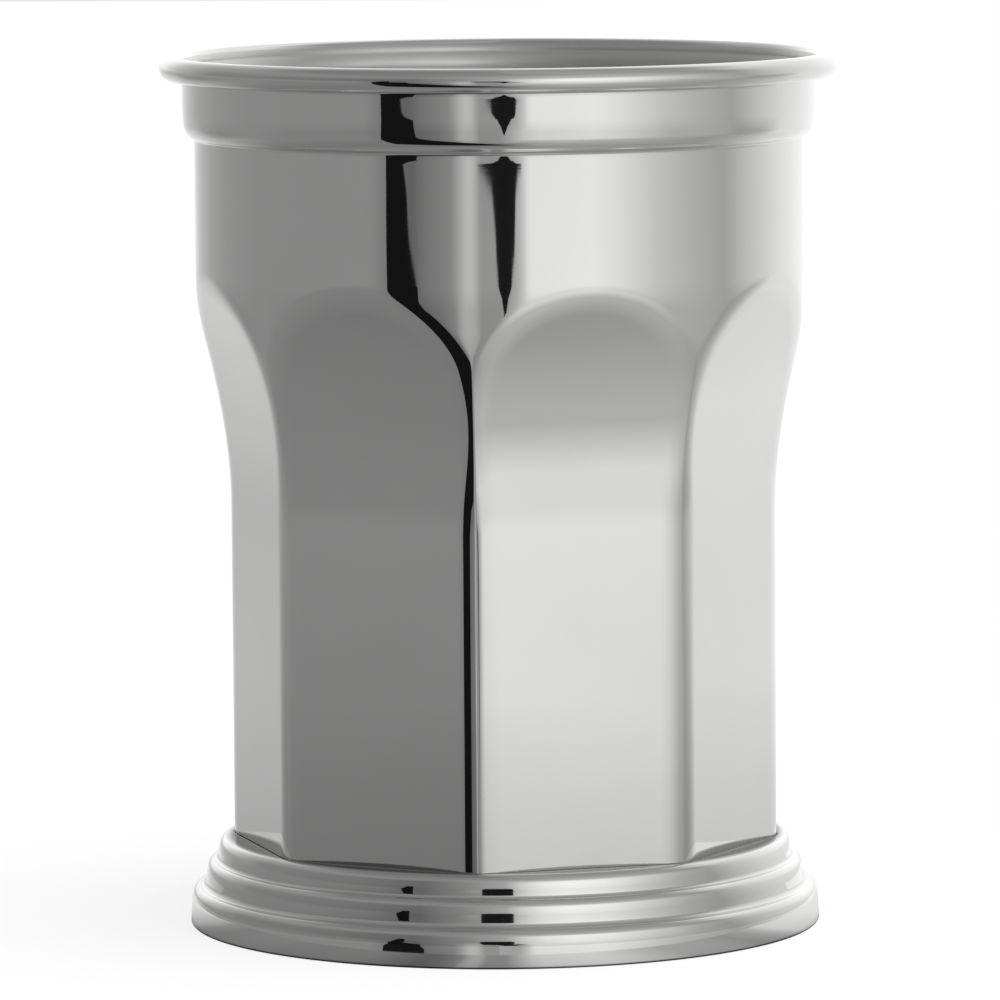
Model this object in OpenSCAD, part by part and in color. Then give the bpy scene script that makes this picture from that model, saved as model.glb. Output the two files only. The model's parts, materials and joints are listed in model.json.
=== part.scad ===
// Julep cup: a drawn sheet-metal cup whose lower half is pressed into flat panels,
// standing in a separate three-step foot that is closed underneath by a plate.
// Millimetres. +Z is up, and the origin is the centre of the foot on the table.

/* [Cup] */
// Height from the table to the top of the lip
cup_h = 113; // [105:0.5:125]
// Thickness of the sheet that the cup is drawn from
wall = 0.9; // [0.6:0.05:1.1]
// Outer radius of the round upper body
body_r = 39.5; // [36:0.1:43]
// Outer radius of the rounded corner where a ridge turns into the floor
floor_corner_r = 2.6; // [2:0.1:4]
// Share of that radius that the tighter corner under a panel has
panel_corner_share = 0.8; // [0.65:0.01:0.9]
// Share of a corner's radius by which the flat floor cuts into its round
floor_cut_share = 0.12; // [0.05:0.01:0.3]

/* [Collar and lip] */
// How far the collar stands out from the round body
collar_step = 1.55; // [1.2:0.05:2.4]
// From the top of the lip down to where the collar's shoulder starts to turn in
collar_drop = 8.6; // [7:0.1:12]
// Radius of the rounded shoulder under the collar
shoulder_r = 2.3; // [1.6:0.1:3.2]
// Outer radius of the rolled lip
lip_roll_r = 1.6; // [1.4:0.05:2]
// How far the collar flares out to meet the roll
lip_flare = 0.6; // [0.4:0.05:0.9]
// Height over which the collar flares
lip_flare_h = 2; // [1.5:0.1:3]
// Opening left between the cut edge of the roll and the collar
lip_edge_gap = 0.25; // [0.15:0.05:0.5]

/* [Panels] */
// Number of flat panels round the cup
panel_count = 8; // [6:1:10]
// How far the middle of a flat panel lies in from the round body
panel_depth = 6.3; // [5.5:0.1:7]
// How far a ridge's crest is rounded back from the sharp corner of its two panels
crest_trim = 0.43; // [0.3:0.01:0.6]
// From the top of the lip down to the tops of the panels' arches
arch_drop = 29; // [26:0.5:34]
// Height over which a panel swings out, from its flat to its arched top
panel_swing_h = 29; // [24:0.5:36]
// How far above the tops of the arches the ridges have become the round body
ridge_lead = 1.6; // [1:0.1:3]
// Height over which a ridge swings out to the round body
ridge_swing_h = 29.6; // [24:0.2:34]
// Share of the ridge's outward swing that is taken by its upper, outward-bulging arc
crest_share = 0.35; // [0.25:0.01:0.5]

/* [Foot] */
// Thickness of the sheet that the foot is pressed from
foot_sheet = 0.9; // [0.6:0.05:1.1]
// How far the top step stands out from the cup's ridges
top_tread = 1.9; // [1.8:0.05:2.4]
// How far the middle step stands out from the top step
middle_tread = 1.65; // [1.6:0.05:2.2]
// How far the bottom step, which stands on the table, stands out from the middle step
bottom_tread = 1.95; // [1.6:0.05:2.6]
// Height of the bottom step above the table
bottom_step_h = 4.95; // [4.5:0.05:6]
// Rise of the middle step
middle_step_h = 3.45; // [2.8:0.05:4]
// Rise of the top step
top_step_h = 2.9; // [2.4:0.05:3.6]
// Radius of the rounded outer edge of each step
step_edge_r = 1.3; // [1.15:0.05:1.5]
// Radius of the small round along the bottom edge
heel_r = 0.4; // [0.2:0.05:0.6]

/* [Underside] */
// Thickness of the closing plate
plate_t = 0.9; // [0.6:0.05:1.5]
// How far the plate is set up inside the foot
plate_recess = 0.8; // [0.7:0.05:1.5]

/* [Joints] */
// Clearance between the cup and the opening in the foot
cup_gap = 0.15; // [0.1:0.01:0.25]
// Clearance between the plate and the inside of the foot
plate_gap = 0.1; // [0.05:0.01:0.2]
// Width and height of the solder bead under the foot's top
foot_solder_leg = 1.4; // [0.8:0.1:1.6]
// Depth below the foot's top to which the solder fills the gap round the cup
solder_drop = 0.3; // [0.15:0.05:0.45]
// Width of the solder fillet round the plate
plate_solder_leg = 0.6; // [0.4:0.05:0.65]

/* [Hidden] */
$fn = 144;

// One overrun serves every cut
overrun = 2;

// Stack of heights, from the table up
plate_top_z = plate_recess + plate_t;
cup_bottom_z = plate_top_z;
corner_z = cup_bottom_z + (1 - floor_cut_share) * floor_corner_r;
panel_corner_r = panel_corner_share * floor_corner_r;
panel_corner_z = cup_bottom_z + (1 - floor_cut_share) * panel_corner_r;
middle_step_z = bottom_step_h;
top_step_z = middle_step_z + middle_step_h;
foot_top_z = top_step_z + top_step_h;
collar_z = cup_h - collar_drop;
lip_z = cup_h - lip_roll_r;
flare_z = lip_z - lip_flare_h;
arch_top_z = cup_h - arch_drop;
flat_top_z = arch_top_z - panel_swing_h;
ridge_top_z = arch_top_z + ridge_lead;
ridge_bottom_z = ridge_top_z - ridge_swing_h;

// Panels: ridges lie on the X and Y axes, and panel middles halfway between them
panel_angle = 360 / panel_count;

// Radii, from the panels out to the foot and from the body out to the lip's roll
flat_r = body_r - panel_depth;
ridge_r = flat_r / cos(panel_angle / 2) - crest_trim;
top_step_r = ridge_r + top_tread;
middle_step_r = top_step_r + middle_tread;
foot_r = middle_step_r + bottom_tread;
collar_r = body_r + collar_step;
lip_ring_r = collar_r + lip_flare - wall + lip_roll_r;

// A panel swings out along one arc, tangent to its flat and ending on the round body
cove_r = (panel_swing_h * panel_swing_h + panel_depth * panel_depth) / (2 * panel_depth);
cove_angle = acos((flat_r + cove_r - body_r - overrun / 2) / cove_r);
cove_steps = 12;

// A ridge swings out along two arcs that share a tangent: hollow below, bulging above
ridge_angle = 2 * atan((body_r - ridge_r) / ridge_swing_h);
ridge_arcs_r = ridge_swing_h / sin(ridge_angle);
crest_arc_r = crest_share * ridge_arcs_r;
hollow_arc_r = ridge_arcs_r - crest_arc_r;
turn_z = ridge_bottom_z + hollow_arc_r * sin(ridge_angle);

// Angle at which the roll of the lip ends, measured round its own centre
lip_end_angle = 180 + acos((lip_ring_r - collar_r - lip_flare / 2 - lip_edge_gap) / lip_roll_r);

steel = [0.78, 0.79, 0.80];
solder = [0.62, 0.62, 0.60];

// Shape of the round outline seen from the side, moved inward by d.
// It is the crest line of the ridges below, the round body above and the collar.
module side_outline(d, bottom_z, top_z) {
    crest_r = ridge_r - d;
    split_z = turn_z + d * sin(ridge_angle);
    shoulder_x = collar_r - shoulder_r;
    // rounded corner of the floor
    translate([0, bottom_z]) square([ridge_r - floor_corner_r, corner_z - bottom_z]);
    intersection() {
        translate([ridge_r - floor_corner_r, corner_z]) circle(r = floor_corner_r - d);
        translate([ridge_r - floor_corner_r, bottom_z]) square([floor_corner_r + overrun, corner_z - bottom_z]);
    }
    // straight ridge
    translate([0, corner_z]) square([crest_r, ridge_bottom_z - corner_z]);
    // hollow arc of the ridge
    difference() {
        translate([0, ridge_bottom_z]) square([body_r + overrun, split_z - ridge_bottom_z]);
        translate([ridge_r + hollow_arc_r, ridge_bottom_z]) circle(r = hollow_arc_r + d, $fn = 4 * $fn);
    }
    // bulging arc of the ridge
    intersection() {
        translate([0, split_z]) square([body_r + overrun, ridge_top_z - split_z]);
        translate([body_r - crest_arc_r, ridge_top_z]) circle(r = crest_arc_r - d, $fn = 2 * $fn);
    }
    // round body
    translate([0, ridge_top_z]) square([body_r - d, collar_z - ridge_top_z]);
    // rounded shoulder under the collar
    translate([0, collar_z - shoulder_r + d]) square([shoulder_x, shoulder_r - d]);
    intersection() {
        translate([shoulder_x, collar_z]) circle(r = shoulder_r - d);
        translate([shoulder_x, collar_z - shoulder_r]) square([shoulder_r + overrun, shoulder_r]);
    }
    // collar, flaring out at its top to meet the roll
    translate([0, collar_z]) square([collar_r - d, flare_z - collar_z]);
    polygon([
        [0, flare_z],
        [collar_r - d, flare_z],
        [collar_r - d + lip_flare * (top_z - flare_z) / lip_flare_h, top_z],
        [0, top_z],
    ]);
}

// What is cut away outside one panel, seen from the side and moved inward by d
module panel_cut_outline(d) {
    reach = body_r + overrun;
    difference() {
        translate([flat_r - panel_corner_r, cup_bottom_z - overrun])
            square([reach - flat_r + panel_corner_r, panel_corner_z - cup_bottom_z + overrun]);
        translate([flat_r - panel_corner_r, panel_corner_z]) circle(r = panel_corner_r - d);
    }
    translate([flat_r - d, panel_corner_z]) square([reach - flat_r + d, flat_top_z - panel_corner_z]);
    polygon(concat(
        [for (i = [0 : cove_steps]) let (t = cove_angle * i / cove_steps)
            [flat_r + cove_r - (cove_r + d) * cos(t), flat_top_z + (cove_r + d) * sin(t)]],
        [
            [reach, flat_top_z + (cove_r + d) * sin(cove_angle)],
            [reach, flat_top_z],
        ]));
}

// The cup's outer form, moved inward by d: a turned form with its panels cut flat
module cup_form(d, bottom_z, top_z) {
    difference() {
        rotate_extrude() side_outline(d, bottom_z, top_z);
        for (i = [0 : panel_count - 1])
            rotate([0, 0, (i + 1 / 2) * panel_angle])
                rotate([90, 0, 0])
                    linear_extrude(height = 2 * body_r, center = true) panel_cut_outline(d);
    }
}

// The panelled outline of the lower cup, seen from above and grown by d
module cup_plan(d) {
    intersection() {
        circle(r = ridge_r + d);
        circle(r = (flat_r + d) / cos(panel_angle / 2), $fn = panel_count);
    }
}

// The rolled lip: a sheet ring bent outward and down until its edge nears the collar
module lip_roll() {
    rotate_extrude()
        translate([lip_ring_r, lip_z])
            difference() {
                circle(r = lip_roll_r);
                circle(r = lip_roll_r - wall);
                polygon([
                    [0, 0],
                    [-3 * lip_roll_r, 0],
                    [-3 * lip_roll_r, -3 * lip_roll_r],
                    [3 * lip_roll_r * cos(lip_end_angle), 3 * lip_roll_r * sin(lip_end_angle)],
                ]);
            }
}

module cup_shell() {
    color(steel) {
        difference() {
            cup_form(0, cup_bottom_z, lip_z);
            cup_form(wall, cup_bottom_z + wall, lip_z + overrun);
        }
        lip_roll();
    }
}

// One step of the foot seen from the side, moved inward by d
module step_outline(r, top_z, d) {
    square([r - step_edge_r, top_z - d]);
    square([r - d, top_z - step_edge_r]);
    intersection() {
        translate([r - step_edge_r, top_z - step_edge_r]) circle(r = step_edge_r - d);
        translate([r - step_edge_r, top_z - step_edge_r]) square(step_edge_r + overrun);
    }
}

module foot_outline(d) {
    step_outline(foot_r, bottom_step_h, d);
    step_outline(middle_step_r, top_step_z, d);
    step_outline(top_step_r, foot_top_z, d);
}

module stepped_foot() {
    color(steel)
        difference() {
            rotate_extrude()
                difference() {
                    foot_outline(0);
                    foot_outline(foot_sheet);
                    // small round along the bottom edge
                    difference() {
                        translate([foot_r - heel_r, -overrun]) square([heel_r + overrun, heel_r + overrun]);
                        translate([foot_r - heel_r, heel_r]) circle(r = heel_r);
                    }
                }
            translate([0, 0, top_step_z]) linear_extrude(height = top_step_h + overrun) cup_plan(cup_gap);
        }
}

module base_plate() {
    color(steel)
        translate([0, 0, plate_recess]) cylinder(r = foot_r - foot_sheet - plate_gap, h = plate_t);
}

// Solder between the cup and the foot: a bead under the foot's top and a film in the gap.
// The bead stays on the flat of the foot's top, clear of its rounded edge.
module foot_solder() {
    under_z = foot_top_z - foot_sheet;
    color(solder)
        difference() {
            union() {
                translate([0, 0, under_z - foot_solder_leg])
                    linear_extrude(height = foot_solder_leg)
                        intersection() {
                            cup_plan(foot_solder_leg);
                            circle(r = top_step_r - step_edge_r);
                        }
                translate([0, 0, under_z])
                    linear_extrude(height = foot_sheet - solder_drop) cup_plan(cup_gap);
            }
            translate([0, 0, under_z - foot_solder_leg - overrun])
                linear_extrude(height = foot_solder_leg + foot_sheet + 2 * overrun) cup_plan(0);
        }
}

// Solder fillet under the rim of the plate
module plate_solder() {
    inner_r = foot_r - foot_sheet;
    color(solder)
        rotate_extrude()
            polygon([
                [inner_r - plate_solder_leg, plate_recess],
                [inner_r, plate_recess - plate_solder_leg],
                [inner_r, plate_recess],
            ]);
}

cup_shell();
stepped_foot();
base_plate();
foot_solder();
plate_solder();
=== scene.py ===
import json
import math

import bpy
import numpy as np
from mathutils import Matrix

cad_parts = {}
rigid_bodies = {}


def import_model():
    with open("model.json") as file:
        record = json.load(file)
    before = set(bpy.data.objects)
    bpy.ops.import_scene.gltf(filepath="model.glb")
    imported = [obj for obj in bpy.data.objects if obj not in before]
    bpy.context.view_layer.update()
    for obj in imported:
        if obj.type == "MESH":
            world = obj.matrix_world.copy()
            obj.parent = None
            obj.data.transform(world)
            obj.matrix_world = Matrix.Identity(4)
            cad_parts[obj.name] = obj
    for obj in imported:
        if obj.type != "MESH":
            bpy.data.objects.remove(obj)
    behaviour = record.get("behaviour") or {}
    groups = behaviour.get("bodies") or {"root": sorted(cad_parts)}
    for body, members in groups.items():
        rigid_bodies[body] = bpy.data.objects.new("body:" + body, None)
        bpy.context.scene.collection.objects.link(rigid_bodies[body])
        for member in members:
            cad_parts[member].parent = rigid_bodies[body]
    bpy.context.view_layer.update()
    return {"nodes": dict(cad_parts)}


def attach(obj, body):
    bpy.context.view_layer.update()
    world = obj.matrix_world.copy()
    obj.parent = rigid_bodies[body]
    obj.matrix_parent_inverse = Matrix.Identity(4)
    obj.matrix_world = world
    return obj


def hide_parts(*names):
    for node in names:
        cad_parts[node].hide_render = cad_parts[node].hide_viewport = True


for leftover in list(bpy.data.objects):
    bpy.data.objects.remove(leftover, do_unlink=True)

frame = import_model()

# ---------------------------------------------------------------- sizes, in millimetres
MM = 0.001

# the cup's sheet, its round body and its floor
CUP_H = 113.0
WALL = 0.9
BODY_R = 39.5
FLOOR_CORNER_R = 2.6
PANEL_CORNER_SHARE = 0.8
FLOOR_CUT = 0.12

# the collar and the rolled lip
COLLAR_STEP = 1.55
COLLAR_DROP = 8.6
SHOULDER_R = 2.3
LIP_ROLL_R = 1.6
LIP_FLARE = 0.6
LIP_FLARE_H = 2.0
LIP_GAP = 0.25

# the panels and the ridges between them
PANELS = 8
PANEL_DEPTH = 6.3
CREST_TRIM = 0.43
ARCH_DROP = 29.0
PANEL_SWING_H = 29.0
RIDGE_LEAD = 1.6
RIDGE_SWING_H = 29.6
CREST_SHARE = 0.35

# the stepped foot and the cup's seat in it
FOOT_SHEET = 0.9
HEEL_R = 0.4
CUP_GAP = 0.15
CUP_BOTTOM_Z = 1.7
BOTTOM_STEP_H = 4.95
MIDDLE_STEP_H = 3.45
TOP_STEP_H = 2.9
TOP_TREAD = 1.9
MIDDLE_TREAD = 1.65
BOTTOM_TREAD = 1.95

# what follows from these
PANEL_CORNER_R = PANEL_CORNER_SHARE * FLOOR_CORNER_R
TOP_STEP_Z = BOTTOM_STEP_H + MIDDLE_STEP_H
FOOT_TOP_Z = TOP_STEP_Z + TOP_STEP_H
CORNER_Z = CUP_BOTTOM_Z + (1 - FLOOR_CUT) * FLOOR_CORNER_R
PANEL_CORNER_Z = CUP_BOTTOM_Z + (1 - FLOOR_CUT) * PANEL_CORNER_R
COLLAR_Z = CUP_H - COLLAR_DROP
LIP_Z = CUP_H - LIP_ROLL_R
FLARE_Z = LIP_Z - LIP_FLARE_H
ARCH_TOP_Z = CUP_H - ARCH_DROP
FLAT_TOP_Z = ARCH_TOP_Z - PANEL_SWING_H
RIDGE_TOP_Z = ARCH_TOP_Z + RIDGE_LEAD
RIDGE_BOTTOM_Z = RIDGE_TOP_Z - RIDGE_SWING_H
HALF_PANEL = math.pi / PANELS
FLAT_R = BODY_R - PANEL_DEPTH
RIDGE_R = FLAT_R / math.cos(HALF_PANEL) - CREST_TRIM
TOP_STEP_R = RIDGE_R + TOP_TREAD
MIDDLE_STEP_R = TOP_STEP_R + MIDDLE_TREAD
FOOT_R = MIDDLE_STEP_R + BOTTOM_TREAD
COLLAR_R = BODY_R + COLLAR_STEP
LIP_RING_R = COLLAR_R + LIP_FLARE - WALL + LIP_ROLL_R
COVE_R = (PANEL_SWING_H ** 2 + PANEL_DEPTH ** 2) / (2 * PANEL_DEPTH)
RIDGE_ANGLE = 2 * math.atan((BODY_R - RIDGE_R) / RIDGE_SWING_H)
RIDGE_ARCS_R = RIDGE_SWING_H / math.sin(RIDGE_ANGLE)
CREST_ARC_R = CREST_SHARE * RIDGE_ARCS_R
HOLLOW_ARC_R = RIDGE_ARCS_R - CREST_ARC_R
TURN_Z = RIDGE_BOTTOM_Z + HOLLOW_ARC_R * math.sin(RIDGE_ANGLE)
# angle round the roll at which the lip's cut edge lies, in degrees
LIP_END = 180 + math.degrees(
    math.acos((LIP_RING_R - COLLAR_R - LIP_FLARE / 2 - LIP_GAP) / LIP_ROLL_R)
)

# ---------------------------------------------------------------- what pressing and polishing soften
# width over which ridge and panel melt into each other, below and at the arches
RIDGE_SOFT = 0.6
ARCH_SOFT = 0.8
SOFTER_FROM_Z = 52.0
SOFTER_TO_Z = 66.0
# while they swing out, the panels lag a little and the crests of the ridges keep out a little
ARCH_FLANK_LAG = 0.1
RIDGE_LIFT = 0.62
RIDGE_LIFT_TO_Z = 53.0
# the collar leans in towards its shoulder, and falls in further past a straight part at its top
COLLAR_LEAN = 0.052
COLLAR_STRAIGHT = 0.35
COLLAR_FALL = 0.09
# degrees below the level at which the shoulder's round meets the collar
SHOULDER_TURN = 5.4
SHOULDER_FILLET = 0.4
# keeps the polished roll inside the CAD's
LIP_INSET = 0.01
# the sides of the foot's steps lean in, and more so above a soft bend near their edges
STEP_LEAN = math.tan(math.radians(6.0))
BOTTOM_LEAN = math.tan(math.radians(3.0))
STEP_SHOULDER = math.tan(math.radians(13.0))
STEP_BEND = 1.45
STEP_BEND_R = 7.0
STEP_ROUND_R = 1.1
# rounds in the foot's hollows outside, along its bottom edge and inside
MIDDLE_HOLLOW_R = 0.75
TOP_HOLLOW_R = 0.5
BOTTOM_EDGE_R = 0.2
INSIDE_HOLLOW_R = 0.4
INSIDE_EDGE_R = 1.0


# ---------------------------------------------------------------- helpers for objects
def placed(name, data):
    """New object in the scene that holds this data."""
    thing = bpy.data.objects.new(name, data)
    bpy.context.scene.collection.objects.link(thing)
    return thing


def mesh_object(name, points, faces):
    mesh = bpy.data.meshes.new(name)
    mesh.from_pydata(points, [], faces)
    return placed(name, mesh)


def dress(piece, *materials):
    piece.data.materials.clear()
    for material in materials:
        piece.data.materials.append(material)


# ---------------------------------------------------------------- camera, in metres and radians
CAMERA_SIDE = math.radians(5.5)
PIXELS_PER_FRAME = 1000.0
FOCAL_PIXELS = 7545.6
SENSOR_MM = 36.0
CAMERA_DISTANCE = 0.9752
CAMERA_HEIGHT = 0.15855
CAMERA_OFFSET = -0.000297
CAMERA_PITCH = 0.1059
CAMERA_ROLL = -0.0072
CLIP_NEAR = 0.05
CLIP_FAR = 20

camera_data = bpy.data.cameras.new("photo_camera")
camera_data.sensor_width = SENSOR_MM
camera_data.lens = FOCAL_PIXELS / PIXELS_PER_FRAME * SENSOR_MM
camera_data.clip_start = CLIP_NEAR
camera_data.clip_end = CLIP_FAR
camera = placed("photo_camera", camera_data)
camera.matrix_world = (
    Matrix.Translation((
        CAMERA_DISTANCE * math.sin(CAMERA_SIDE) + CAMERA_OFFSET * math.cos(CAMERA_SIDE),
        -CAMERA_DISTANCE * math.cos(CAMERA_SIDE) + CAMERA_OFFSET * math.sin(CAMERA_SIDE),
        CAMERA_HEIGHT,
    ))
    @ Matrix.Rotation(CAMERA_SIDE, 4, "Z")
    @ Matrix.Rotation(math.pi / 2 - CAMERA_PITCH, 4, "X")
    @ Matrix.Rotation(CAMERA_ROLL, 4, "Z")
)
bpy.context.scene.camera = camera


# ---------------------------------------------------------------- forms of the cup
def soft_min(a, b, width):
    """The smaller of a and b, rounded where they differ by less than width."""
    share = np.clip(1 - np.abs(a - b) / width, 0, 1)
    return np.minimum(a, b) - 0.25 * width * share * share


def ridge_line(z, d):
    """Radius of the crest line of the ridges at height z, moved inward by d."""
    split_z = TURN_Z + d * math.sin(RIDGE_ANGLE)
    if z < CORNER_Z:
        return RIDGE_R - FLOOR_CORNER_R + math.sqrt((FLOOR_CORNER_R - d) ** 2 - (CORNER_Z - z) ** 2)
    if z <= RIDGE_BOTTOM_Z:
        return RIDGE_R - d
    if z <= split_z:
        return RIDGE_R + HOLLOW_ARC_R - math.sqrt((HOLLOW_ARC_R + d) ** 2 - (z - RIDGE_BOTTOM_Z) ** 2)
    if z < RIDGE_TOP_Z:
        return BODY_R - CREST_ARC_R + math.sqrt((CREST_ARC_R - d) ** 2 - (RIDGE_TOP_Z - z) ** 2)
    return BODY_R - d


def panel_line(z, d):
    """Distance from the axis to the middle of a panel at height z, moved inward by d."""
    if z < PANEL_CORNER_Z:
        return FLAT_R - PANEL_CORNER_R + math.sqrt((PANEL_CORNER_R - d) ** 2 - (PANEL_CORNER_Z - z) ** 2)
    if z <= FLAT_TOP_Z:
        return FLAT_R - d
    lag = ARCH_FLANK_LAG * math.sin(math.pi * min(1.0, (z - FLAT_TOP_Z) / PANEL_SWING_H)) ** 2
    return FLAT_R + COVE_R - math.sqrt((COVE_R + d) ** 2 - (z - FLAT_TOP_Z) ** 2) - lag


# columns round the cup: part of their spacing is even, and the rest crowds them towards the ridges
COLUMNS_PER_PANEL = 64
EVEN_SHARE = 0.45
even = np.linspace(-1, 1, COLUMNS_PER_PANEL, endpoint=False)
in_panel = HALF_PANEL * (EVEN_SHARE * even + (1 - EVEN_SHARE) * np.sin(math.pi * even / 2))
ANGLE_IN_PANEL = np.tile(in_panel, PANELS)
ANGLE = np.concatenate([in_panel + (2 * i + 1) * HALF_PANEL for i in range(PANELS)])


def panel_section(z, d, soft=None):
    """Radius of every column at height z, moved inward by d."""
    if soft is None:
        soft = float(np.interp(z, (SOFTER_FROM_Z, SOFTER_TO_Z), (RIDGE_SOFT, ARCH_SOFT)))
    down = min(1.0, max(0.0, (RIDGE_TOP_Z - z) / (RIDGE_TOP_Z - RIDGE_LIFT_TO_Z)))
    crest = ridge_line(z, d) + RIDGE_LIFT * math.sin(math.pi * down) ** 2
    return soft_min(np.full(len(ANGLE), crest), panel_line(z, d) / np.cos(ANGLE_IN_PANEL), soft)


def arc(centre_r, centre_z, radius, start, end, steps):
    """Points of an arc in the side view, angles in degrees."""
    turn = np.radians(np.linspace(start, end, steps + 1))
    return [(centre_r + radius * math.cos(t), centre_z + radius * math.sin(t)) for t in turn]


def rounded_path(corners, steps):
    """Side-view path through corners (r, z, radius), each rounded by an arc tangent to its two sides."""
    path = []
    for i, (r, z, radius) in enumerate(corners):
        here = np.array((r, z))
        if radius == 0:
            path.append((r, z))
            continue
        back = np.array(corners[i - 1][:2]) - here
        ahead = np.array(corners[i + 1][:2]) - here
        back /= np.linalg.norm(back)
        ahead /= np.linalg.norm(ahead)
        half = math.acos(float(np.clip(back @ ahead, -1, 1))) / 2
        middle = (back + ahead) / np.linalg.norm(back + ahead)
        centre = here + middle * radius / math.sin(half)
        first = here + back * radius / math.tan(half) - centre
        last = here + ahead * radius / math.tan(half) - centre
        sweep = math.atan2(first[0] * last[1] - first[1] * last[0], float(first @ last))
        for k in range(steps + 1):
            t = sweep * k / steps
            path.append((
                centre[0] + first[0] * math.cos(t) - first[1] * math.sin(t),
                centre[1] + first[0] * math.sin(t) + first[1] * math.cos(t),
            ))
    return path


def turned_mesh(name, rows, open_ends):
    """Smooth mesh from rows of (radii, height), each row one ring round the axis.

    With open_ends both ends close on the axis, and otherwise the last row joins the first."""
    count = len(ANGLE)
    radii = np.array([np.broadcast_to(np.asarray(r, float), (count,)) for r, _ in rows])
    heights = np.array([z for _, z in rows])
    points = np.stack([
        radii * np.cos(ANGLE), radii * np.sin(ANGLE), np.repeat(heights[:, None], count, axis=1)
    ], axis=-1).reshape(-1, 3)
    column = np.arange(count)
    following = (column + 1) % count
    faces = []
    for i in range(len(rows) - 1 if open_ends else len(rows)):
        a, b = i * count, ((i + 1) % len(rows)) * count
        faces.append(np.stack([a + column, a + following, b + following, b + column], axis=1))
    faces = np.concatenate(faces).tolist()
    if open_ends:
        start, end = len(points), len(points) + 1
        points = np.vstack([points, [[0, 0, heights[0]], [0, 0, heights[-1]]]])
        faces += [[start, j, i] for i, j in zip(column.tolist(), following.tolist())]
        top = (len(rows) - 1) * count
        faces += [[end, top + i, top + j] for i, j in zip(column.tolist(), following.tolist())]
    piece = mesh_object(name, (points * MM).tolist(), faces)
    piece.data.validate()
    piece.data.shade_smooth()
    return piece


def spaced(start, end, steps):
    return list(np.linspace(start, end, steps + 1))


# ---------------------------------------------------------------- the cup
# rows lie closest between CLOSE_FROM_Z and the ridges' tops, where the panels swing out
LOW_TO_Z = 12.0
CLOSE_FROM_Z = 72.0
WALL_TO_Z = 101.0
SWING_FROM_Z = FLAT_TOP_Z - 1
SWING_TO_Z = RIDGE_TOP_Z + 1
FLOOR_RINGS = (0.1, 0.4, 0.7, 0.92, 1.0)
INNER_FLOOR_RINGS = (0.95, 0.75, 0.45, 0.15)
# the last rows of the roll, which already face the inside
ROLL_ROWS_INSIDE = 9

outer_heights = (
    spaced(CUP_BOTTOM_Z, CORNER_Z, 10)[1:]
    + spaced(CORNER_Z, LOW_TO_Z, 4)[1:]
    + spaced(LOW_TO_Z, SWING_FROM_Z, 8)[1:]
    + spaced(SWING_FROM_Z, CLOSE_FROM_Z, 30)[1:]
    + spaced(CLOSE_FROM_Z, SWING_TO_Z, 60)[1:]
    + spaced(SWING_TO_Z, WALL_TO_Z, 8)[1:]
)
rows = [(panel_section(CUP_BOTTOM_Z, 0) * share, CUP_BOTTOM_Z) for share in FLOOR_RINGS]
rows += [(panel_section(z, 0), z) for z in outer_heights]

# the shoulder: a small fillet out of the body, then the round that turns up into the collar
fillet_r = BODY_R + SHOULDER_FILLET
shoulder_r = COLLAR_R - SHOULDER_R
fillet_z = COLLAR_Z - math.sqrt((SHOULDER_R + SHOULDER_FILLET) ** 2 - (fillet_r - shoulder_r) ** 2)
fillet_end = math.degrees(math.atan2(COLLAR_Z - fillet_z, shoulder_r - fillet_r))
rows += arc(fillet_r, fillet_z, SHOULDER_FILLET, 180, fillet_end, 8)
rows += arc(shoulder_r, COLLAR_Z, SHOULDER_R, fillet_end - 180, -SHOULDER_TURN, 18)[1:]


def collar_line(z):
    """Outer radius of the collar, drawn in a little at its bottom and flared where it meets the roll."""
    down = max(0.0, (FLARE_Z - z) / (FLARE_Z - COLLAR_Z))
    fall = max(0.0, down - COLLAR_STRAIGHT) / (1 - COLLAR_STRAIGHT)
    flare = max(0.0, (z - FLARE_Z) / LIP_FLARE_H)
    return COLLAR_R - COLLAR_LEAN * down - COLLAR_FALL * fall ** 3 + LIP_FLARE * flare ** 2


# the shoulder is drawn in with the collar, so that they meet where both lean alike
collar_start_r, collar_start_z = rows[-1]
drawn_in = collar_start_r - collar_line(collar_start_z)
rows = [
    (r if np.ndim(r) else r - drawn_in * max(0.0, (r - BODY_R) / (collar_start_r - BODY_R)), z)
    for r, z in rows
]
collar_heights = spaced(collar_start_z, FLARE_Z, 20)[1:] + spaced(FLARE_Z, LIP_Z, 10)[1:]
rows += [(collar_line(z), z) for z in collar_heights]

# inside of the roll, its cut edge, then round the outside
roll_bore = LIP_ROLL_R - WALL
cut_middle = (roll_bore + LIP_ROLL_R) / 2
rows += arc(LIP_RING_R, LIP_Z, roll_bore, 180, LIP_END - 360, 28)
rows += arc(
    LIP_RING_R + cut_middle * math.cos(math.radians(LIP_END)),
    LIP_Z + cut_middle * math.sin(math.radians(LIP_END)),
    WALL / 2, LIP_END - 180, LIP_END - 360, 8,
)[1:-1]
rows += arc(LIP_RING_R, LIP_Z, LIP_ROLL_R - LIP_INSET, LIP_END - 360, 180, 64)
inner_start = len(rows) - ROLL_ROWS_INSIDE

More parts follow.
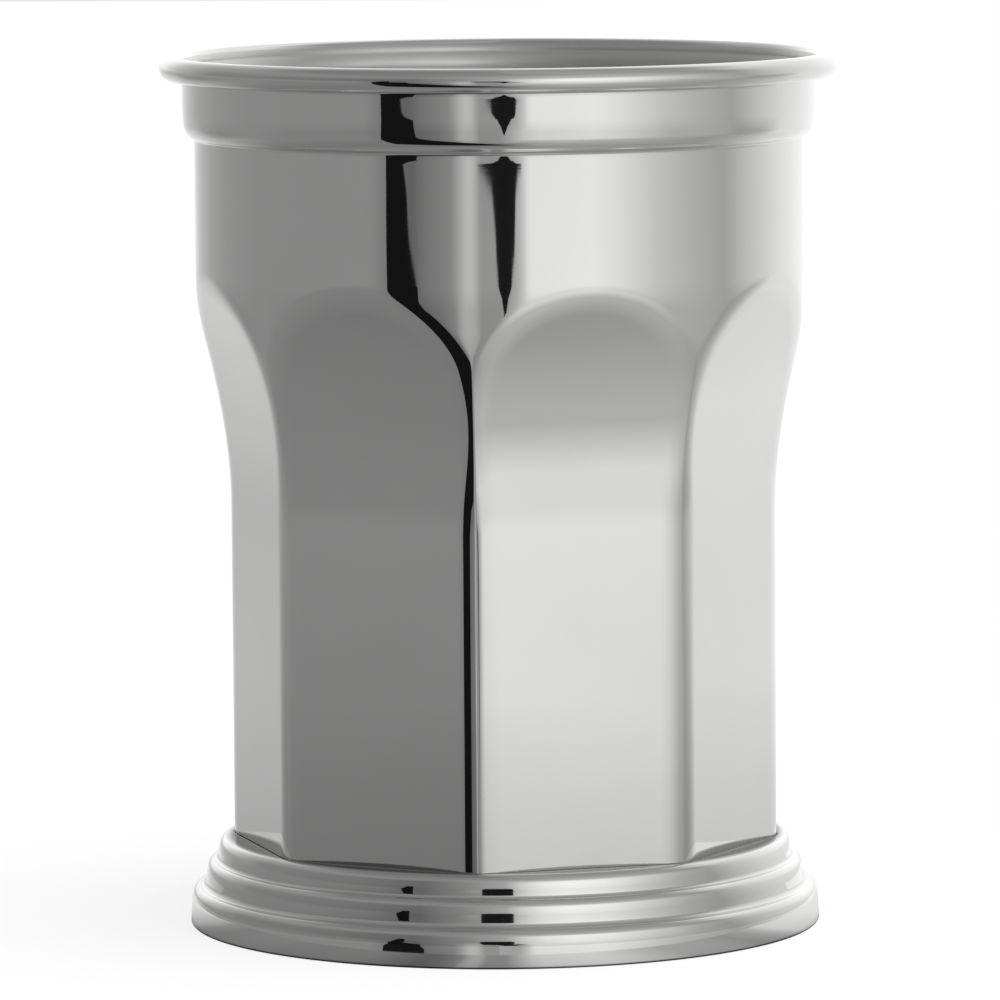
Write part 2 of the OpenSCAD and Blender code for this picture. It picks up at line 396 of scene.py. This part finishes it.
# down the inner wall and across the inner floor
inner_floor_z = CUP_BOTTOM_Z + WALL
inner_heights = (
    spaced(WALL_TO_Z, SWING_TO_Z, 6)
    + spaced(SWING_TO_Z, CLOSE_FROM_Z, 30)[1:]
    + spaced(CLOSE_FROM_Z, SWING_FROM_Z, 16)[1:]
    + spaced(SWING_FROM_Z, CORNER_Z, 8)[1:]
    + spaced(CORNER_Z, inner_floor_z, 8)[1:]
)
rows += [(collar_line(z) - WALL, z) for z in spaced(LIP_Z, FLARE_Z, 8)[1:]]
rows += arc(shoulder_r, COLLAR_Z, SHOULDER_R - WALL, 0, fillet_end - 180, 12)
rows += arc(fillet_r, fillet_z, SHOULDER_FILLET + WALL, fillet_end, 180, 8)[1:]
rows += [(panel_section(z, WALL), z) for z in inner_heights]
rows += [(panel_section(inner_floor_z, WALL) * share, inner_floor_z) for share in INNER_FLOOR_RINGS]
cup = turned_mesh("cup_sheet", rows, open_ends=True)


# ---------------------------------------------------------------- the foot
def step_side(r, low_z, top_z, lean):
    """Corners up one step's side, which leans in a little and more so near its edge."""
    bend_z = top_z - STEP_BEND
    bend_r = r - lean * (bend_z - low_z)
    return [(bend_r, bend_z, STEP_BEND_R), (bend_r - STEP_SHOULDER * STEP_BEND, top_z, STEP_ROUND_R)]


# the opening follows the cup's straight sides, taken at any height, with its upper edge eased
STRAIGHT_SIDES_Z = 20.0
OPENING_SOFT = 0.2
EDGE_EASE = 0.12
EDGE_EASE_MIDDLE = 0.035
# where the round top gives way to rings that run over into the eight-sided opening
TOP_RING_R = RIDGE_R + 0.45
TOP_RINGS = (0.35, 0.7)
# heights between which the inside of the bottom step is one straight face
INSIDE_LOW_Z = 2.0
INSIDE_HIGH_Z = 3.0

outer_path = rounded_path([
    (FOOT_R - FOOT_SHEET, INSIDE_LOW_Z, 0),
    (FOOT_R - FOOT_SHEET, 0.0, BOTTOM_EDGE_R),
    (FOOT_R, 0.0, HEEL_R),
    *step_side(FOOT_R, 0.0, BOTTOM_STEP_H, BOTTOM_LEAN),
    (MIDDLE_STEP_R, BOTTOM_STEP_H, MIDDLE_HOLLOW_R),
    *step_side(MIDDLE_STEP_R, BOTTOM_STEP_H, TOP_STEP_Z, STEP_LEAN),
    (TOP_STEP_R, TOP_STEP_Z, TOP_HOLLOW_R),
    *step_side(TOP_STEP_R, TOP_STEP_Z, FOOT_TOP_Z, STEP_LEAN),
    (TOP_RING_R, FOOT_TOP_Z, 0),
], steps=14)
opening = panel_section(STRAIGHT_SIDES_Z, -CUP_GAP, OPENING_SOFT)
under_z = FOOT_TOP_Z - FOOT_SHEET
top_ring = np.full(len(ANGLE), TOP_RING_R)
foot_rows = outer_path + [
    (top_ring * (1 - share) + (opening + EDGE_EASE) * share, FOOT_TOP_Z) for share in TOP_RINGS
]
foot_rows += [
    (opening + EDGE_EASE, FOOT_TOP_Z),
    (opening + EDGE_EASE_MIDDLE, FOOT_TOP_Z - EDGE_EASE_MIDDLE),
    (opening, FOOT_TOP_Z - EDGE_EASE),
    (opening, under_z),
    ((opening + top_ring) / 2, under_z),
]
foot_rows += rounded_path([
    (TOP_RING_R, under_z, 0),
    (TOP_STEP_R - FOOT_SHEET, under_z, INSIDE_HOLLOW_R),
    (TOP_STEP_R - FOOT_SHEET, TOP_STEP_Z - FOOT_SHEET, INSIDE_EDGE_R),
    (MIDDLE_STEP_R - FOOT_SHEET, TOP_STEP_Z - FOOT_SHEET, INSIDE_HOLLOW_R),
    (MIDDLE_STEP_R - FOOT_SHEET, BOTTOM_STEP_H - FOOT_SHEET, INSIDE_EDGE_R),
    (FOOT_R - FOOT_SHEET, BOTTOM_STEP_H - FOOT_SHEET, INSIDE_HOLLOW_R),
    (FOOT_R - FOOT_SHEET, INSIDE_HIGH_Z, 0),
], steps=6)
foot = turned_mesh("foot_pressing", foot_rows, open_ends=False)


# ---------------------------------------------------------------- helpers for node trees
def cleared(owner, output_kind="ShaderNodeOutputMaterial"):
    """Emptied node tree of a material or world, and the socket of its new output."""
    owner.use_nodes = True
    tree = owner.node_tree
    tree.nodes.clear()
    return tree, tree.nodes.new(output_kind).inputs[0]


def new_material(name, shader_kind):
    """Material with one shader, its node tree and the shader."""
    material = bpy.data.materials.new(name)
    tree, surface = cleared(material)
    shader = tree.nodes.new(shader_kind)
    tree.links.new(shader.outputs[0], surface)
    return material, tree, shader


def fill(tree, socket, value):
    """Link another node's output to the socket, or set the socket to a number or colour."""
    if isinstance(value, bpy.types.NodeSocket):
        tree.links.new(value, socket)
    else:
        socket.default_value = value


def maths(tree, operation, *values):
    node = tree.nodes.new("ShaderNodeMath")
    node.operation = operation
    for socket, value in zip(node.inputs, values):
        fill(tree, socket, value)
    return node.outputs[0]


def mix(tree, kind, factor, first, second, blend_type="MIX"):
    """Mix of two values, of kind FLOAT or RGBA."""
    node = tree.nodes.new("ShaderNodeMix")
    node.data_type = kind
    node.blend_type = blend_type
    for name, value in (("Factor", factor), ("A", first), ("B", second)):
        fill(tree, node.inputs[name], value)
    return node.outputs["Result"]


def spread(tree, value, low, high, start=0.3, end=0.7):
    """The value with its range from start to end brought to low to high."""
    node = tree.nodes.new("ShaderNodeMapRange")
    node.inputs["From Min"].default_value = start
    node.inputs["From Max"].default_value = end
    node.inputs["To Min"].default_value = low
    node.inputs["To Max"].default_value = high
    tree.links.new(value, node.inputs["Value"])
    return node.outputs[0]


def spot(tree):
    """Where a point of the surface lies in its object's own frame, in metres."""
    return tree.nodes.new("ShaderNodeTexCoord").outputs["Object"]


def mapped(tree, vector, setting, value):
    """The vector with a mapping's Scale or Rotation applied."""
    node = tree.nodes.new("ShaderNodeMapping")
    node.inputs[setting].default_value = value
    tree.links.new(vector, node.inputs[0])
    return node.outputs[0]


def parts(tree, vector):
    node = tree.nodes.new("ShaderNodeSeparateXYZ")
    tree.links.new(vector, node.inputs[0])
    return node.outputs


def length(tree, vector):
    node = tree.nodes.new("ShaderNodeVectorMath")
    node.operation = "LENGTH"
    tree.links.new(vector, node.inputs[0])
    return node.outputs["Value"]


def noise(tree, scale, detail, stretch=(1, 1, 1)):
    node = tree.nodes.new("ShaderNodeTexNoise")
    node.inputs["Scale"].default_value = scale
    node.inputs["Detail"].default_value = detail
    tree.links.new(mapped(tree, spot(tree), "Scale", stretch), node.inputs["Vector"])
    return node.outputs[0]


def bump(tree, height, distance, below=None):
    node = tree.nodes.new("ShaderNodeBump")
    node.inputs["Distance"].default_value = distance
    tree.links.new(height, node.inputs["Height"])
    if below is not None:
        tree.links.new(below, node.inputs["Normal"])
    return node.outputs[0]


# ---------------------------------------------------------------- materials
# scale and detail of the noises that every metal here has
TONE_CLOUDS = (38, 5)
POLISH_PATCHES = (90, 8)
SHEET_WAVES = (55, 1)
LINES = (1, 3)
TONE_CHANGE = 0.015
STEEL_TINT = (1.0, 1.0, 0.99)
SOLDER_TINT = (1.0, 0.99, 0.96)


def metal(name, tone, rough, wave, grain, stretch, tint=STEEL_TINT):
    """Polished or brushed sheet metal: uneven tone and polish, slight waves of the sheet and fine lines.

    Wave and grain are heights in metres, and stretch says how close the lines lie along X, Y and Z."""
    material, tree, shader = new_material(name, "ShaderNodeBsdfPrincipled")
    shader.inputs["Metallic"].default_value = 1.0
    darker = [t * (tone - TONE_CHANGE) for t in tint] + [1]
    lighter = [t * (tone + TONE_CHANGE) for t in tint] + [1]
    clouds = spread(tree, noise(tree, *TONE_CLOUDS), 0, 1)
    tree.links.new(mix(tree, "RGBA", clouds, darker, lighter), shader.inputs["Base Color"])
    tree.links.new(spread(tree, noise(tree, *POLISH_PATCHES), *rough), shader.inputs["Roughness"])
    waves = bump(tree, noise(tree, *SHEET_WAVES), wave)
    lines = bump(tree, noise(tree, *LINES, stretch), grain, waves)
    tree.links.new(lines, shader.inputs["Normal"])
    return material


polished_outside = metal(
    "polished_cup", tone=0.78, rough=(0.014, 0.036), wave=0.00003, grain=0.0000002,
    stretch=(500, 500, 9000),
)
polished_inside = metal(
    "polished_inside", tone=0.7, rough=(0.28, 0.38), wave=0.00004, grain=0.0000015,
    stretch=(400, 400, 9000),
)
polished_steps = metal(
    "polished_foot", tone=0.78, rough=(0.018, 0.045), wave=0.00003, grain=0.0000002,
    stretch=(500, 500, 9000),
)
satin_plate = metal(
    "plate_metal", tone=0.66, rough=(0.3, 0.42), wave=0.00005, grain=0.000004,
    stretch=(9000, 600, 600),
)
solder_metal = metal(
    "solder", tone=0.5, rough=(0.34, 0.5), wave=0.00012, grain=0.00001,
    stretch=(1500, 1500, 1500), tint=SOLDER_TINT,
)

# painted shade beside the cup: the tone it darkens to, and its glancing reflection
SHADE_BESIDE_CUP_TONE = (0.38, 0.38, 0.38, 1)
SHADE_BESIDE_CUP_GLANCING = (0.5, 0.5, 0.5, 1)
BRIGHT_GLANCING_TONE = (1, 1, 1, 1)
# the painted shade fades between these radii and starts between these heights, in millimetres
SHADE_BESIDE_CUP_RADII = (RIDGE_R - 0.1, RIDGE_R + 1.0)
SHADE_BESIDE_CUP_HEIGHTS = (FOOT_TOP_Z - 0.3, FOOT_TOP_Z - 0.02)


def paint_shade_beside_cup(material):
    """Painted shade on the foot's flat top beside the cup, along the seam: a darker tone and a fainter
    glancing reflection there.
    """
    tree = material.node_tree
    shader = next(node for node in tree.nodes if node.type == "BSDF_PRINCIPLED")
    bright = shader.inputs["Base Color"].links[0].from_socket
    place = spot(tree)
    reach = length(tree, mapped(tree, place, "Scale", (1, 1, 0)))
    near_cup = spread(tree, reach, 1, 0, *(r * MM for r in SHADE_BESIDE_CUP_RADII))
    on_top = spread(tree, parts(tree, place)[2], 0, 1, *(z * MM for z in SHADE_BESIDE_CUP_HEIGHTS))
    painted_shade = maths(tree, "MULTIPLY", near_cup, on_top)
    tone = mix(tree, "RGBA", painted_shade, bright, SHADE_BESIDE_CUP_TONE, "MULTIPLY")
    tree.links.new(tone, shader.inputs["Base Color"])
    glancing = mix(tree, "RGBA", painted_shade, BRIGHT_GLANCING_TONE, SHADE_BESIDE_CUP_GLANCING)
    tree.links.new(glancing, shader.inputs["Specular Tint"])


# paints shade on the foot's flat top beside the cup
paint_shade_beside_cup(polished_steps)

# the cup's faces from the roll's inner side down to the inner floor take the softer polish
dress(cup, polished_outside, polished_inside)
columns = len(ANGLE)
face_rows = np.arange(len(cup.data.polygons)) // columns
inside = (face_rows >= inner_start) & (face_rows < len(rows) - 1)
inside[len(rows) * columns:] = True
cup.data.polygons.foreach_set("material_index", inside.astype(np.int32))
dress(foot, polished_steps)
for node_name, material in (
    ("base_plate", satin_plate), ("foot_solder", solder_metal), ("plate_solder", solder_metal)
):
    for holder in frame["nodes"][node_name].material_slots:
        holder.material = material

for piece, node_name, slot_name in (
    (cup, "cup_shell", "polished_cup"), (foot, "stepped_foot", "polished_foot")
):
    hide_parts(node_name)
    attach(piece, "root")


# ---------------------------------------------------------------- the studio, seen only in reflections
def only_in_reflections(thing):
    thing.visible_camera = False
    thing.visible_diffuse = False
    thing.visible_transmission = False
    thing.visible_volume_scatter = False
    thing.visible_shadow = False


def stage_bearing(tree):
    """Bearing of a spot on a stage piece: 0.5 on the camera's side, and 0 and 1 behind the cup."""
    right, away, _ = parts(tree, mapped(tree, spot(tree), "Rotation", (0, 0, -CAMERA_SIDE)))
    bearing = maths(tree, "ARCTAN2", right, maths(tree, "MULTIPLY", away, -1.0))
    return spread(tree, bearing, 0, 1, -math.pi, math.pi)


def stage_height(tree):
    return parts(tree, spot(tree))[2]


def grey_ramp(tree, place, stops):
    """Grey level at a place between 0 and 1, through stops (place, level)."""
    node = tree.nodes.new("ShaderNodeValToRGB")
    elements = node.color_ramp.elements
    elements.remove(elements[-1])
    for i, (position, level) in enumerate(stops):
        stop = elements[0] if i == 0 else elements.new(position)
        stop.position = position
        stop.color = [level] * 3 + [1]
    tree.links.new(place, node.inputs[0])
    return node.outputs[0]


def bearing_ramp(tree, bearing, levels):
    """Level by bearing, in degrees to the right of the camera's side. Levels go up to BRIGHTEST."""
    return grey_ramp(tree, bearing, [
        (degrees / 360 + 0.5, level / BRIGHTEST) for degrees, level in levels
    ])


BRIGHTEST = 1.5
DOME_R = 2400.0
DOME_ROWS = 48
# the dome's rows stop this far above and below the horizon, in radians, and its ends close it
DOME_TILT = 1.5

# straight above
OVERHEAD = [(-180, 0.33), (-120, 0.24), (-60, 0.25), (0, 0.3), (40, 0.4), (100, 0.36), (180, 0.36)]
# well above the cup: a bright ceiling behind and to the right
HIGH = [
    (-180, 0.7), (-150, 0.5), (-130, 0.38), (-100, 0.32), (-30, 0.28), (0, 0.4), (20, 0.52), (55, 0.5),
    (88, 0.35), (96, 0.4), (108, 0.66), (130, 0.87), (160, 0.98), (180, 0.8),
]
# a little above the horizon: a grey side on the left, a broad soft light on the right, a white one behind
RAISED = [
    (-180, 1.15), (-165, 1.1), (-155, 0.93), (-145, 0.66), (-135, 0.5), (-115, 0.28), (-60, 0.22),
    (-33, 0.17), (-15, 0.3), (0, 0.45), (6, 0.75), (15, 1.02), (25, 1.14), (40, 1.05), (55, 0.8),
    (75, 0.5), (89, 0.41), (105, 0.64), (125, 0.86), (145, 1.04), (165, 1.18), (180, 1.2),
]
# at the horizon, with a lit strip between the black flag and the camera
HORIZON = [
    (-180, 1.2), (-172, 0.9), (-155, 0.6), (-140, 0.43), (-125, 0.355), (-105, 0.31), (-50, 0.31),
    (-33, 0.14), (-28, 0.21), (-18, 0.29), (-15.5, 0.42), (-12, 0.62), (-9.5, 0.55), (-7.5, 0.36),
    (3, 0.36), (6, 0.5), (8.2, 0.66), (10.4, 0.95), (34, 0.99), (45, 0.88), (60, 0.66), (75, 0.53),
    (92, 0.43), (105, 0.63), (125, 0.86), (145, 1.0), (165, 1.12), (180, 1.18),
]
# the far part of the table
TABLE = [
    (-180, 0.95), (-165, 0.82), (-146, 0.57), (-136, 0.36), (-124, 0.29), (-100, 0.3), (-84, 0.27),
    (-50, 0.26), (-30, 0.15), (-22, 0.2), (-17, 0.27), (-13.5, 0.5), (-9.5, 0.47), (-7, 0.32), (0, 0.33),
    (5, 0.5), (9, 0.7), (14, 0.8), (34, 0.87), (45, 0.76), (55, 0.63), (65, 0.5), (85, 0.46),
    (98, 0.38), (110, 0.47), (117, 0.62), (124, 0.86), (145, 0.96), (160, 1.04), (180, 1.0),
]
# the table near the cup
LOW = [
    (-180, 0.6), (-150, 0.52), (-130, 0.4), (-100, 0.28), (-50, 0.24), (-24, 0.15), (-17, 0.22),
    (-13, 0.4), (-9.5, 0.38), (-7, 0.29), (0, 0.33), (6, 0.48), (15, 0.52), (25, 0.57), (45, 0.51),
    (65, 0.44), (87, 0.36), (105, 0.47), (125, 0.7), (145, 0.88), (180, 0.9),
]
# what lies under the overhang of the arches and the shoulder
STEEP = [
    (-180, 0.3), (-120, 0.25), (-50, 0.22), (-10, 0.2), (6, 0.24), (15, 0.38), (25, 0.42), (60, 0.41),
    (95, 0.36), (115, 0.43), (135, 0.5), (180, 0.4),
]
UNDER = [(-180, 0.28), (-60, 0.24), (0, 0.3), (60, 0.37), (110, 0.36), (180, 0.3)]
# above UNDER, each ramp takes over between these two elevations, in degrees
LAYERS = (
    (-70, -50, STEEP), (-42, -27, LOW), (-24, -14, TABLE), (-7.6, -2.7, HORIZON), (-1, 5, RAISED),
    (17, 34, HIGH), (44, 58, OVERHEAD),
)

dome = turned_mesh("studio_surround", [
    (DOME_R * math.cos(t), DOME_R * math.sin(t)) for t in np.linspace(-DOME_TILT, DOME_TILT, DOME_ROWS)
], open_ends=True)
surround, tree, light = new_material("studio_surround", "ShaderNodeEmission")
bearing = stage_bearing(tree)
height = stage_height(tree)
level = bearing_ramp(tree, bearing, UNDER)
for low, high, levels in LAYERS:
    start, end = (DOME_R * MM * math.sin(math.radians(elevation)) for elevation in (low, high))
    share = spread(tree, height, 0, 1, start, end)
    level = mix(tree, "FLOAT", share, level, bearing_ramp(tree, bearing, levels))
tree.links.new(maths(tree, "MULTIPLY", level, BRIGHTEST), light.inputs["Strength"])
dress(dome, surround)
only_in_reflections(dome)


def card(name, distance, outline, shade):
    """Flat card standing at a distance, in millimetres, through outline (bearing in degrees, height)."""
    points = []
    for degrees, height_mm in outline:
        t = math.radians(degrees) + CAMERA_SIDE
        points.append((distance * math.sin(t) * MM, -distance * math.cos(t) * MM, height_mm * MM))
    thing = mesh_object(name, points, [list(range(len(points)))])
    material, _, glow = new_material(name, "ShaderNodeEmission")
    glow.inputs["Strength"].default_value = shade
    dress(thing, material)
    only_in_reflections(thing)
    return thing


# far off: a black flag on the left, and the dark shape on the camera's side
FAR_CARDS = 1300.0
BLACK_FLAG = [
    (-38.8, 190), (-41.2, 70), (-41.6, 46), (-42.4, 34), (-42.4, -14), (-43.5, -260), (-43.5, -1000),
    (-28, -1300), (0, -1450), (7, -1350), (-5, -950), (-14, -700), (-20, -510), (-27, -258), (-30, -200),
    (-30.6, -12), (-33.6, 2), (-34.7, 14.6), (-37.3, 34), (-36.3, 46), (-36.3, 190),
]
CAMERA_SHAPE = [
    (1.6, -183), (2.8, -61), (4, -10), (5, -5), (5.6, 14), (6.6, 20), (7.9, 22.5), (7.4, 34), (2.4, 46),
    (3.2, 70), (3.2, 150), (2, 170), (-7.6, 170), (-9, 150), (-9, 70), (-8.2, 46), (-8, 34), (-8, 22.5),
    (-6.2, 20), (-3, 14), (-1.6, 0), (-1.6, -5), (-0.8, -10), (0.4, -61),
]
# close by, so that only the foot's lowest step reflects them: a dark cloth and the table's grey edge
CLOTH_DISTANCE = 64
CLOTH = [
    (-30.7, -0.1), (-30.7, 1.0), (-29.5, 1.7), (-27.5, 2.2), (-23.6, 2.2), (-21.5, 1.6), (-20, 0.9),
    (-20, -0.1),
]
TABLE_EDGE_DISTANCE = 70
TABLE_EDGE = [(-1.6, -0.8), (3.2, -0.8), (3.2, 2.3), (-1.6, 2.3)]

flag_left = card("black_flag", FAR_CARDS, BLACK_FLAG, 0.008)
flag_middle = card("camera_side", FAR_CARDS, CAMERA_SHAPE, 0.012)
near_flag = card("cloth_by_foot", CLOTH_DISTANCE, CLOTH, 0.01)
table_edge = card("table_edge", TABLE_EDGE_DISTANCE, TABLE_EDGE, 0.44)

RING_SIDES = 128


def ring(name, edges, material):
    """Band of faces round the cup through edges (radius, height), in millimetres."""
    turns = np.linspace(0, 2 * math.pi, RING_SIDES + 1)[:-1]
    points = [(r * MM * math.cos(t), r * MM * math.sin(t), z * MM) for r, z in edges for t in turns]
    faces = []
    for k in range(len(edges) - 1):
        a, b = RING_SIDES * k, RING_SIDES * (k + 1)
        for i in range(RING_SIDES):
            j = (i + 1) % RING_SIDES
            faces.append([a + i, a + j, b + j, b + i])
    thing = mesh_object(name, points, faces)
    dress(thing, material)
    only_in_reflections(thing)
    return thing


# the table close round the foot, which its lowest step reflects, with the cup's shadow on it painted in
# as a share that falls towards the foot: (radius, share of the table's light)
NEAR_TABLE = [(40.2, 0.02), (41.0, 0.06), (41.3, 0.6), (43.0, 0.8), (50.0, 0.87), (63.0, 0.91)]
NEAR_TABLE_Z = 0.05
NEAR_RAMP_R = 100.0
# so close by, the step shows a bearing at this many times what it is on the table
NEAR_WIDENING = 1.7

near_material, tree, light = new_material("table_near_foot", "ShaderNodeEmission")
level = bearing_ramp(tree, stage_bearing(tree), [
    (degrees / NEAR_WIDENING, level) for degrees, level in TABLE
])
reach = maths(tree, "MULTIPLY", length(tree, spot(tree)), 1 / (NEAR_RAMP_R * MM))
share = grey_ramp(tree, reach, [(radius / NEAR_RAMP_R, factor) for radius, factor in NEAR_TABLE])
level = maths(tree, "MULTIPLY", level, share)
tree.links.new(maths(tree, "MULTIPLY", level, BRIGHTEST), light.inputs["Strength"])
near_table = ring("table_near_foot", [(radius, NEAR_TABLE_Z) for radius, _ in NEAR_TABLE], near_material)

# a low dark veil round the cup, which the lower ends of the panels reflect: painted shade of the cup's
# shadow on the table near it
SHADE_VEIL_R = 100.0
SHADE_VEIL_H = 24.0
SHADE_VEIL_LETS_THROUGH = 0.81

shade_veil_material, tree, veil = new_material("table_shade_veil", "ShaderNodeBsdfTransparent")
clearer = spread(tree, stage_height(tree), SHADE_VEIL_LETS_THROUGH, 1.0, 0.0, SHADE_VEIL_H * MM)
tree.links.new(clearer, veil.inputs["Color"])
shade_veil = ring("table_shade_veil", [(SHADE_VEIL_R, 0.0), (SHADE_VEIL_R, SHADE_VEIL_H)], shade_veil_material)

# ---------------------------------------------------------------- floor, in metres
FLOOR_SIZE = 6.0
FLOOR_TONE = (0.9, 0.9, 0.9, 1)
# share of plain white that the camera sees, near the cup and away from it, over these distances
WHITE_SHARES = (0.8, 1.0)
WHITE_DISTANCES = (0.05, 0.16)

half = FLOOR_SIZE / 2
floor = mesh_object("floor", [(-half, -half, 0), (half, -half, 0), (half, half, 0), (-half, half, 0)], [
    [0, 1, 2, 3]
])
floor_material, tree, mixed = new_material("floor", "ShaderNodeMixShader")
matt = tree.nodes.new("ShaderNodeBsdfDiffuse")
matt.inputs["Color"].default_value = FLOOR_TONE
glow = tree.nodes.new("ShaderNodeEmission")
glow.inputs["Strength"].default_value = 1.0
path = tree.nodes.new("ShaderNodeLightPath")
white = spread(tree, length(tree, spot(tree)), *WHITE_SHARES, *WHITE_DISTANCES)
tree.links.new(maths(tree, "MULTIPLY", path.outputs["Is Camera Ray"], white), mixed.inputs[0])
tree.links.new(matt.outputs[0], mixed.inputs[1])
tree.links.new(glow.outputs[0], mixed.inputs[2])
dress(floor, floor_material)
floor.visible_glossy = False

# ---------------------------------------------------------------- lamp and surroundings, in metres
LAMP_PLACE = (0.35, -0.2, 1.5)
LAMP_TILT = (math.radians(-8), math.radians(13), 0)
LAMP_SIZE = 1.2
LAMP_WATTS = 22
# light that the surroundings cast, against 1 where they are seen
SURROUNDINGS = 0.6

lamp_data = bpy.data.lights.new("overhead_lamp", "AREA")
lamp_data.shape = "DISK"
lamp_data.size = LAMP_SIZE
lamp_data.energy = LAMP_WATTS
lamp = placed("overhead_lamp", lamp_data)
lamp.location = LAMP_PLACE
lamp.rotation_euler = LAMP_TILT
lamp.visible_glossy = False

world = bpy.data.worlds.new("studio")
bpy.context.scene.world = world
tree, surface = cleared(world, "ShaderNodeOutputWorld")
sky = tree.nodes.new("ShaderNodeBackground")
path = tree.nodes.new("ShaderNodeLightPath")
seen = maths(tree, "MAXIMUM", path.outputs["Is Camera Ray"], path.outputs["Is Glossy Ray"])
seen = maths(tree, "MAXIMUM", seen, path.outputs["Is Transmission Ray"])
tree.links.new(spread(tree, seen, SURROUNDINGS, 1.0, 0, 1), sky.inputs["Strength"])
tree.links.new(sky.outputs[0], surface)

bpy.context.scene.view_settings.view_transform = "Standard"
